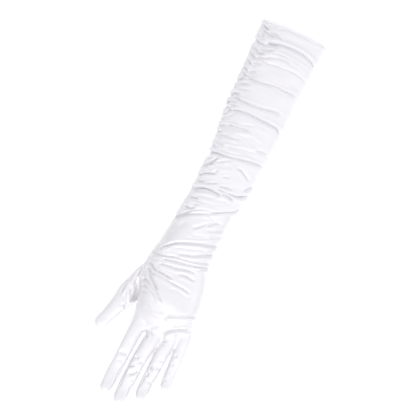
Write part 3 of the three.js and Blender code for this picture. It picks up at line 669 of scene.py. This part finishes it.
def relaxed(places, edges, times, strength):
    """Places drawn towards the mean of their neighbours; strength may differ from place to place."""
    count = np.bincount(edges.ravel(), minlength=len(places)).astype(float)
    strength = np.broadcast_to(strength, len(places))[:, None]
    for _ in range(times):
        mean = np.zeros_like(places)
        for k in range(3):
            mean[:, k] = (np.bincount(edges[:, 0], places[edges[:, 1], k], len(places))
                          + np.bincount(edges[:, 1], places[edges[:, 0], k], len(places)))
        mean /= np.maximum(count, 1)[:, None]
        places = places + strength * (mean - places)
    return places


def give_wall(obj, thickness):
    wall = obj.modifiers.new("wall", "SOLIDIFY")
    wall.thickness = thickness * MM
    wall.offset = -1
    wall.use_rim = True


# Materials

THREAD_STEP = 0.45  # threads are about 0.12 mm apart, and are drawn wider apart so that they show
FLOAT_LENGTH = 6.0  # length of their gloss along the arm
THREAD_HEIGHT = 0.04


def linear(hex_colour):
    values = [int(hex_colour[i:i + 2], 16) / 255 for i in (1, 3, 5)]
    return tuple(v / 12.92 if v <= 0.04045 else ((v + 0.055) / 1.055) ** 2.4 for v in values) + (1.0,)


def add_node(tree, kind, links=None, **settings):
    """A node with its settings; links maps an input's name or number to a socket that feeds it."""
    node = tree.nodes.new(kind)
    for key, value in settings.items():
        if key in node.inputs:
            node.inputs[key].default_value = value
        else:
            setattr(node, key, value)
    for key, socket in (links or {}).items():
        tree.links.new(socket, node.inputs[key])
    return node


def new_material(name, **values):
    """A material and its shader, with values for the shader's sockets; spaces are underscores."""
    material = bpy.data.materials.new(name)
    material.use_nodes = True
    shader = next(n for n in material.node_tree.nodes if n.type == "BSDF_PRINCIPLED")
    for key, value in values.items():
        shader.inputs[key.replace("_", " ")].default_value = value
    return material, shader


def satin(name, colour, roughness, mirror, **more):
    """White woven satin: long warp floats give a bright, soft-edged gloss with fine lines along
    the arm."""
    material, shader = new_material(name, Base_Color=linear(colour), Roughness=roughness, Metallic=mirror,
                                    Sheen_Weight=0.1, Sheen_Roughness=0.4, **more)
    tree = material.node_tree
    where = add_node(tree, "ShaderNodeTexCoord")
    scale = (1 / (THREAD_STEP * MM), 1 / (FLOAT_LENGTH * MM), 1 / (THREAD_STEP * MM))
    stretched = add_node(tree, "ShaderNodeMapping", {"Vector": where.outputs["Object"]}, Scale=scale)
    threads = add_node(tree, "ShaderNodeTexNoise", {"Vector": stretched.outputs["Vector"]},
                       Scale=1.0, Detail=2.0, Roughness=0.6)
    bump = add_node(tree, "ShaderNodeBump", {"Height": threads.outputs["Fac"]},
                    Strength=0.25, Distance=THREAD_HEIGHT * MM)
    tree.links.new(bump.outputs["Normal"], shader.inputs["Normal"])
    return material


# Stretched over the hand, the satin shines like a soft mirror
HAND_SATIN = satin("white_satin_bright_face", "#f0eff2", roughness=0.41, mirror=0.22)
# Gathered in the sleeve, it scatters the light more
SLEEVE_SATIN = satin("white_satin_soft_matt", "#f1f0f4", roughness=0.5, mirror=0.06)
# The hem's inner faces glow a little: painted light that stands in for the light which thin satin lets
# through to the inner side of the mouth
HEM_PAINTED_GLOW = satin("white_satin_inner_painted_glow", "#f1f0f4", roughness=0.5, mirror=0.0,
                   Emission_Color=(1.0, 1.0, 1.0, 1.0), Emission_Strength=0.25)


# Sleeve and hem

MOUTH_MIDDLE = (18.6, 12)  # x and z
SLEEVE_IN_HEM = 1.0  # the sleeve reaches this far into the hem
HEM_SINK = 0.5  # the hem lies this far below the sleeve's plain surface
TUCK_DEPTH = 1.0  # the sleeve is drawn in at the wrist seam by this much
TUCK_WIDTH = 1.6  # and over this length


def mouth_y(angle):
    """y of the mouth's edge round the arm, and how much further out it reaches below."""
    below = np.maximum(-np.sin(angle), 0)
    return across_row(MOUTH, arm_across(angle)), MOUTH_SLANT * below


def sleeve_place(across_share, along_share):
    angle = sheet_angle(across_share)
    edge, slant = mouth_y(angle)
    mouth = edge - HEM_WIDTH + SLEEVE_IN_HEM + slant
    wrist = across_row(WRIST_SEAM, arm_across(angle))
    y = mouth + (wrist - mouth) * along_share
    tuck = -TUCK_DEPTH * np.exp(-((y - wrist) / TUCK_WIDTH) ** 2)
    return arm_folded(angle, y, tuck)


def hem_place(across_share, round_share):
    angle = sheet_angle(across_share)
    edge, slant = mouth_y(angle)
    middle = edge - HEM_WIDTH / 2 + slant
    turn = 2 * math.pi * round_share
    y = middle - HEM_WIDTH / 2 * signed_power(np.cos(turn), 0.6)
    out = HEM_THICKNESS / 2 * signed_power(np.sin(turn), 0.8) - HEM_SINK
    return arm_folded(angle, y, out)


sleeve = piece_of("sleeve_cloth",
                  rolled_sheet("sleeve_cloth", SLEEVE_FACES, sleeve_place, (170, 270), closed=False),
                  SLEEVE_SATIN)
hem = piece_of("cuff_hem_cloth", rolled_sheet("cuff_hem_cloth", HEM_FACES, hem_place, (170, 14)),
               SLEEVE_SATIN)
# The faces that look into the mouth get the glowing satin, painted light on the inner side of the hem
hem.data.materials.append(HEM_PAINTED_GLOW)
for face in hem.data.polygons:
    towards_middle = Vector((MOUTH_MIDDLE[0] * MM, face.center.y, MOUTH_MIDDLE[1] * MM)) - face.center
    face.material_index = int(face.normal.dot(towards_middle) > 0)


# Hand

SKIN_START = 4.0  # the hand's skin starts this far inside the sleeve


def rounded_end(left):
    """Share of the width that is left in a round end, where left falls from 1 to 0."""
    return np.sqrt(1 - (1 - left) ** 2)


def finger_place(stations):
    """A function that places the points of a finger's skin."""
    line = curve_through([s[:2] for s in stations], 16)
    sizes = curve_through([s[2:] for s in stations], 16)
    steps = np.linalg.norm(np.diff(line, axis=0), axis=1)
    length = np.concatenate([[0], np.cumsum(steps)])
    whole = length[-1]

    def on_line(distance):
        return np.stack([np.interp(distance, length, line[:, k]) for k in (0, 1)], -1)

    def place(across_share, along_share):
        angle = 2 * math.pi * across_share
        # Rows lie closer together towards the tip
        distance = whole * (1 - (1 - along_share) ** 1.4)
        centre = on_line(distance)
        run = on_line(np.minimum(distance + 0.5, whole)) - on_line(np.maximum(distance - 0.5, 0))
        run = run / np.linalg.norm(run, axis=-1, keepdims=True)
        width = np.interp(distance, length, sizes[:, 0])
        height = np.interp(distance, length, sizes[:, 1])
        across, z = soft_section(angle, height, FINGER_SIDE_SHARE, FINGER_POWERS)
        left = np.clip((whole - distance) / (sizes[-1, 0] * TIP_SHARE), 0, 1)
        scale = rounded_end(left) * (along_share > 0)
        side = height * FINGER_SIDE_SHARE
        wide = across * width / 2 * scale
        return np.stack([centre[:, 0] - run[:, 1] * wide, centre[:, 1] + run[:, 0] * wide,
                         side + (z - side) * scale ** 0.6], -1)

    return place


def hand_body_place(across_share, along_share):
    angle = 2 * math.pi * across_share
    start = across_row(WRIST_SEAM, arm_across(angle)) + SKIN_START
    end = across_row(WEB_LINE, arm_across(angle))
    y = start + (end - start) * along_share
    place = arm_place(angle, y)
    spine = along_table(BODY_OUTLINE, y, 3) * SIDE_SHARE
    scale = rounded_end(np.clip((y - end) / HAND_END_RADIUS, 0, 1)) * (along_share > 0)
    # The end under the sleeve closes to a point in the middle of the hand
    thumb_edge, far_edge = arm_edges(y)
    closed = along_share <= 0
    place[:, 0] = np.where(closed, (thumb_edge + far_edge) / 2, place[:, 0])
    place[:, 1] = np.where(closed, WRIST_SEAM[1] + SKIN_START, place[:, 1])
    place[:, 2] = spine + (place[:, 2] - spine) * scale
    return place


def joined_mesh(name, meshes):
    bm = bmesh.new()
    for mesh in meshes:
        bm.from_mesh(mesh)
    out = bpy.data.meshes.new(name)
    bm.to_mesh(out)
    bm.free()
    return out


def remeshed(mesh, step):
    obj = bpy.data.objects.new("skin", mesh)
    bpy.context.scene.collection.objects.link(obj)
    modifier = obj.modifiers.new("skin", "REMESH")
    modifier.mode = "VOXEL"
    modifier.voxel_size = step * MM
    modifier.adaptivity = 0
    graph = bpy.context.evaluated_depsgraph_get()
    out = bpy.data.meshes.new_from_object(obj.evaluated_get(graph))
    bpy.data.objects.remove(obj)
    return out


def round_knuckles(places, edges):
    """Smooths the top where the fingers leave the hand."""
    slanted = places[:, 1] + 0.16 * (places[:, 0] - 10)
    knuckles = sum(np.exp(-((slanted + place) / reach) ** 2) for place, reach in KNUCKLE_BANDS)
    knuckles = np.minimum(knuckles, 1) * smoothstep(places[:, 2], 4, 9)
    return relaxed(places, edges, 40, 0.5 * knuckles)


def sink_pocket(places):
    """Lowers the cloth beside the thumb, and lays what is almost on the floor flat on it."""
    sunk = POCKET_SUNK * pocket_share(places[:, 0], places[:, 1])
    places[:, 2] -= sunk * np.maximum(places[:, 2] - POCKET_BOTTOM, 0)
    places[:, 2] = np.where(places[:, 2] < LAID_FLAT, 0, places[:, 2])


def hand_relief(x, y, upward):
    """How far the hand's cloth stands out: its folds and wrinkles on top, and the part under the
    sleeve drawn in."""
    on_body = smoothstep(y, -158, -128)
    depth = fold_field(x, y, HAND_FOLDS, HAND_PUFFINESS) + fold_field(x, y, FINGER_FOLDS, FINGER_PUFFINESS)
    depth += wrinkle_field(x, y) * on_body * smoothstep(x, -30, -20)
    depth += FINGER_WAVE_HEIGHT * lattice_noise(x / 6 + 2, y / 7, 21) * (1 - on_body)
    under_sleeve = smoothstep(y - wrist_seam_y(x), -2.0, 0.5)
    return depth * smoothstep(upward, -0.35, 0.25) - UNDER_SLEEVE_SINK * under_sleeve


def hand_skin():
    """One skin over the hand, the fingers and the thumb."""
    parts = [rolled_sheet("body", HAND_FACES, hand_body_place)]
    for stations in [*FINGERS.values(), THUMB]:
        parts.append(rolled_sheet("finger", FINGER_FACES, finger_place(stations)))
    skin = remeshed(joined_mesh("hand_skin", parts), SKIN_STEP)
    places = places_of(skin) / MM
    places[:, 1] -= ROW_TO_FRAME_Y
    edges = edges_of(skin)
    places = round_knuckles(relaxed(places, edges, 4, 0.5), edges)
    sink_pocket(places)
    set_places(skin, places)
    normals = normals_of(skin)
    places = places + normals * hand_relief(places[:, 0], places[:, 1], normals[:, 2])[:, None]
    places[:, 2] = np.maximum(places[:, 2], 0)
    set_places(skin, places)
    return skin


# Seams: the skin is sheared so that a seam lies in a plane, cut there, and sheared back

X, Y, Z = range(3)


def gap_line(left, right, y):
    """x half way between two fingers' centre lines."""
    lines = [np.array(FINGERS[name])[:, :2] for name in (left, right)]
    return sum(np.interp(-y, -line[:, 1], line[:, 0]) for line in lines) / 2


def fourchette_half(x, y):
    """Half the width of the strip between two fingers, nought where there is none."""
    half = np.zeros_like(x)
    for left, right, web in WEBS:
        off = x - gap_line(left, right, y)
        tip = np.where(off < 0, FINGERS[left][-1][1], FINGERS[right][-1][1]) + FOURCHETTE_SHORT
        beside = smoothstep(-np.abs(off), -8.5, -6.0)
        along = smoothstep(-y, -web - FOURCHETTE_ABOVE_WEB, -web) * smoothstep(y, tip, tip + 6)
        half = np.maximum(half, FOURCHETTE_HALF_WIDTH * beside * along)
    return half


def thumb_seam_x(y, z):
    over = along_table(THUMB_SEAM_OVER, y, 1)
    under = along_table(THUMB_SEAM_UNDER, y, 1)
    return under + (over - under) * smoothstep(z, *THUMB_SEAM_TURN)


def wrist_seam_y(x):
    across = np.clip((x - WRIST_MIDDLE) / WRIST_HALF_WIDTH, -1, 1)
    return across_row(WRIST_SEAM, across)


def bm_places(bm):
    places = np.array([v.co for v in bm.verts]) / MM
    places[:, 1] -= ROW_TO_FRAME_Y
    return places


def cut_where(bm, axis, seam):
    """Cuts the mesh where its coordinate along an axis equals seam(x, y, z), and returns for
    every face whether it lies beyond."""
    level = ROW_TO_FRAME_Y * MM * (axis == Y)
    for vert, value in zip(bm.verts, seam(*bm_places(bm).T)):
        vert.co[axis] -= value * MM
    normal = [0, 0, 0]
    normal[axis] = 1
    bmesh.ops.bisect_plane(bm, geom=[*bm.verts, *bm.edges, *bm.faces], dist=1e-7,
                           plane_co=(0, level, 0), plane_no=normal)
    beyond = [face.calc_center_median()[axis] > level for face in bm.faces]
    for vert, value in zip(bm.verts, seam(*bm_places(bm).T)):
        vert.co[axis] += value * MM
    return beyond


def nearest_web(face):
    centre = face.calc_center_median() / MM
    y = centre.y - ROW_TO_FRAME_Y
    return int(np.argmin([abs(centre.x - gap_line(left, right, y)) for left, right, _ in WEBS]))


def sort_hand(skin):
    """Cuts the skin along its seams and gives every face the number of its piece, or -1."""
    back, palm, thumb, first_fourchette = range(4)
    bm = bmesh.new()
    bm.from_mesh(skin)
    mark = bm.faces.layers.int.new("piece")
    above = cut_where(bm, Z, lambda x, y, z: along_table(SIDE_SEAM, y, 1) + fourchette_half(x, y))
    for face, is_above in zip(bm.faces, above):
        face[mark] = back if is_above else first_fourchette
    above = cut_where(bm, Z, lambda x, y, z: along_table(SIDE_SEAM, y, 1) - fourchette_half(x, y))
    for face, is_above in zip(bm.faces, above):
        if not is_above:
            face[mark] = palm
    for face in bm.faces:
        if face[mark] == first_fourchette:
            face[mark] += nearest_web(face)
    right = cut_where(bm, X, lambda x, y, z: thumb_seam_x(y, z))
    for face, is_right in zip(bm.faces, right):
        if not is_right:
            face[mark] = thumb
    hidden = cut_where(bm, Y, lambda x, y, z: wrist_seam_y(x) + UNDER_SLEEVE)
    for face, is_hidden in zip(bm.faces, hidden):
        if is_hidden:
            face[mark] = -1
    out = bpy.data.meshes.new("hand_sorted")
    bm.to_mesh(out)
    bm.free()
    return out


def turn_in(bm):
    """The edges of a piece dip a little and draw back from the seam."""
    moves = {}
    for vert in bm.verts:
        if not vert.is_boundary:
            continue
        inner = [e.other_vert(vert).co for e in vert.link_edges if not e.other_vert(vert).is_boundary]
        if inner:
            inward = sum(inner, Vector()) / len(inner) - vert.co
            moves[vert] = inward.normalized() * EDGE_BACK * MM - vert.normal * EDGE_DIP * MM
    ring = {}
    for vert in moves:
        for edge in vert.link_edges:
            other = edge.other_vert(vert)
            if other not in moves:
                ring[other] = -other.normal * BESIDE_EDGE_DIP * MM
    for vert, move in [*moves.items(), *ring.items()]:
        vert.co += move


def hand_pieces(skin):
    whole = sort_hand(skin)
    out = {}
    for number, name in enumerate(HAND_PIECES):
        bm = bmesh.new()
        bm.from_mesh(whole)
        mark = bm.faces.layers.int["piece"]
        bmesh.ops.delete(bm, geom=[f for f in bm.faces if f[mark] != number], context="FACES")
        bm.faces.layers.int.remove(mark)
        bm.normal_update()
        turn_in(bm)
        mesh = bpy.data.meshes.new(name + "_cloth")
        bm.to_mesh(mesh)
        bm.free()
        out[name] = piece_of(name + "_cloth", mesh, HAND_SATIN)
    return out


hand = hand_pieces(hand_skin())


# Bodies and what each piece stands for

PIECES = {"sleeve": sleeve, "cuff_hem": hem, **hand}
for name, obj in PIECES.items():
    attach(obj, "root")
    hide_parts(name)
    if obj is not hem:
        give_wall(obj, CLOTH)


# Floor, light and camera

FLOOR_REACH = 3.0  # metres from the middle to the edge
FLOOR_DROP = 0.0002  # metres, so that the floor and the cloth that lies on it stay apart
# Name, place and aim in metres, width of the disk and power
LIGHTS = [
    ("key", (0.5, -1.4, 1.1), (0, 0, 0), 1.2, 10.5),
    ("fingers", (0.05, -0.5, 0.45), (0.0, -0.18, 0), 0.3, 0.12),
    ("right", (1.3, 0.3, 1.0), (0, 0, 0), 1.2, 2.0),
    ("cuff_side", (-0.2, 1.3, 1.0), (0, 0.1, 0), 1.2, 2.6),
]


def floor():
    """Matt white paper: an even white without gloss, and a weak glow that keeps it white."""
    bm = bmesh.new()
    bmesh.ops.create_grid(bm, x_segments=1, y_segments=1, size=FLOOR_REACH)
    bmesh.ops.translate(bm, verts=bm.verts, vec=(0, 0, -FLOOR_DROP))
    mesh = bpy.data.meshes.new("floor")
    bm.to_mesh(mesh)
    bm.free()
    material, _ = new_material("matt_white_paper", Base_Color=linear("#fafafa"), Roughness=0.9,
                               Specular_IOR_Level=0.1, Emission_Color=(1, 1, 1, 1), Emission_Strength=0.35)
    obj = bpy.data.objects.new("floor", mesh)
    mesh.materials.append(material)
    bpy.context.scene.collection.objects.link(obj)


def area_light(name, place, aim, size, power):
    light = bpy.data.lights.new(name, "AREA")
    light.shape = "DISK"
    light.size = size
    light.energy = power
    obj = bpy.data.objects.new(name, light)
    direction = Vector(aim) - Vector(place)
    turn = direction.to_track_quat("-Z", "Y").to_matrix().to_4x4()
    obj.matrix_world = Matrix.Translation(place) @ turn
    bpy.context.scene.collection.objects.link(obj)


def studio_sky():
    """Pale surroundings, brighter above than at the sides."""
    world = bpy.data.worlds.new("studio")
    bpy.context.scene.world = world
    world.use_nodes = True
    background = world.node_tree.nodes["Background"]
    background.inputs["Color"].default_value = (0.99, 0.985, 1.0, 1.0)
    sky = add_node(world.node_tree, "ShaderNodeTexCoord")
    height = add_node(world.node_tree, "ShaderNodeSeparateXYZ", {"Vector": sky.outputs["Generated"]})
    strength = add_node(world.node_tree, "ShaderNodeMapRange", {"Value": height.outputs["Z"]},
                        **{"From Min": 0.0, "From Max": 0.7, "To Min": 0.2, "To Max": 0.9})
    world.node_tree.links.new(strength.outputs["Result"], background.inputs["Strength"])


def photo_camera():
    """A long lens straight above the glove, turned as in the photograph."""
    camera = bpy.data.cameras.new("camera")
    camera.sensor_width = 36.0
    camera.lens = camera.sensor_width * CAMERA_HEIGHT / (PHOTO_STEP * PHOTO_PIXELS)
    camera.clip_end = 20.0
    obj = bpy.data.objects.new("camera", camera)
    place = (PHOTO_MIDDLE[0] * MM, PHOTO_MIDDLE[1] * MM, (CAMERA_HEIGHT + SCALE_HEIGHT) * MM)
    obj.matrix_world = Matrix.Translation(place) @ Matrix.Rotation(math.radians(PHOTO_TURN), 4, "Z")
    bpy.context.scene.collection.objects.link(obj)
    bpy.context.scene.camera = obj


floor()
for light in LIGHTS:
    area_light(*light)
studio_sky()
photo_camera()
bpy.context.scene.view_settings.view_transform = "Standard"
